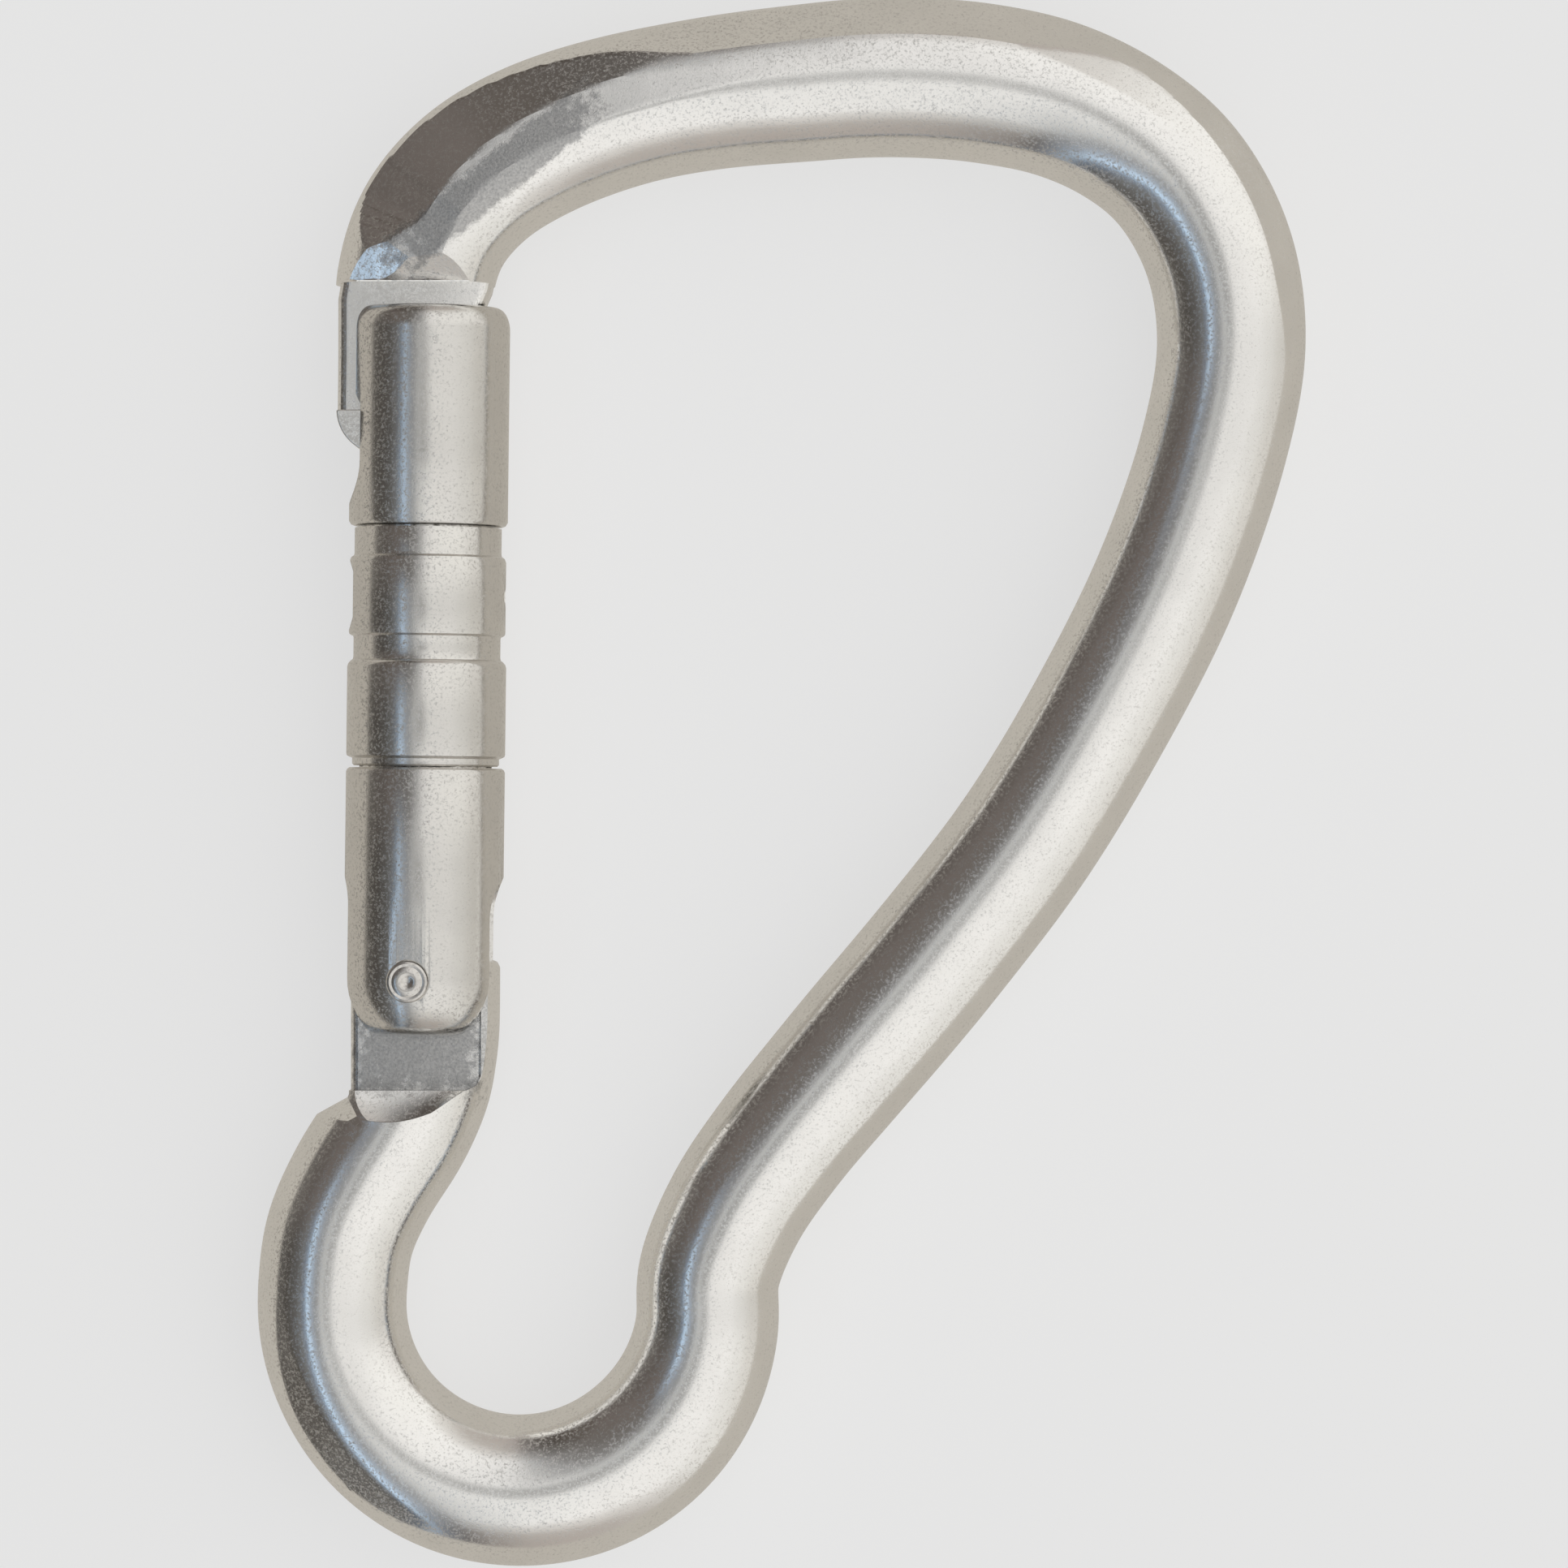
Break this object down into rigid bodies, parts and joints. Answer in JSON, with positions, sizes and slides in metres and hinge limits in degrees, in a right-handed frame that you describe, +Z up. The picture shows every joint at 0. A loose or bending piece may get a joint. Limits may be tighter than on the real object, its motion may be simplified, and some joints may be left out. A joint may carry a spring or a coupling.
{
  "type": "locking carabiner",
  "caption": "Large pear-shaped aluminium connector with a small hook end, a hinged tubular gate that closes by itself, a keyhole nose and a twist lock collar.",
  "frame": {"origin": "centre of the bounding box's bottom, on the surface that the carabiner lies on", "axes": "the carabiner lies flat: +Y from the small hook end to the wide end, +X from the gate to the spine, +Z up through its thickness"},
  "size_m": [0.0878, 0.1314, 0.014],
  "materials": {
    "polished_bar": "polished by tumbling, with a fine grain",
    "turned_gate": "turned and polished",
    "pin_steel": "plain stainless steel",
    "spring_steel": "drawn spring wire"
  },
  "bodies": {
    "frame": {"body": "polished_bar"},
    "gate": {"gate_barrel": "turned_gate", "nose_sleeve": "turned_gate", "hinge_rivet": "pin_steel", "bolt_thrust_washer": "pin_steel", "closing_spring": "spring_steel", "lock_return_spring": "spring_steel"},
    "lock": {"lock_collar": "turned_gate", "collar_drive_pin": "pin_steel", "lock_bolt": "pin_steel"},
    "plunger": {"closing_plunger": "pin_steel"}
  },
  "joints": [
    {"name": "gate_hinge", "type": "hinge", "parent": "frame", "child": "gate", "pos_m": [-0.03103, -0.01656, 0.00698], "axis": [0, 0, -1], "range_deg": [0, 28], "stiffness_Nm_per_rad": 0.6, "springref_deg": -20.05},
    {"name": "collar_turn", "type": "hinge", "parent": "gate", "child": "lock", "pos_m": [-0.03006, -0.01657, 0.00698], "axis": [0.0119, 0.9999, 0], "range_deg": [0, 90], "stiffness_Nm_per_rad": 0.02, "springref_deg": -28.65},
    {"name": "plunger_slide", "type": "slide", "parent": "gate", "child": "plunger", "axis": [0.0119, 0.9999, 0], "range_m": [0, 0.00175], "deforming": ["closing_spring"]}
  ],
  "couplings": [
    {"joint": "plunger_slide", "follows": "gate_hinge", "m_per_rad": 0.00337}
  ]
}
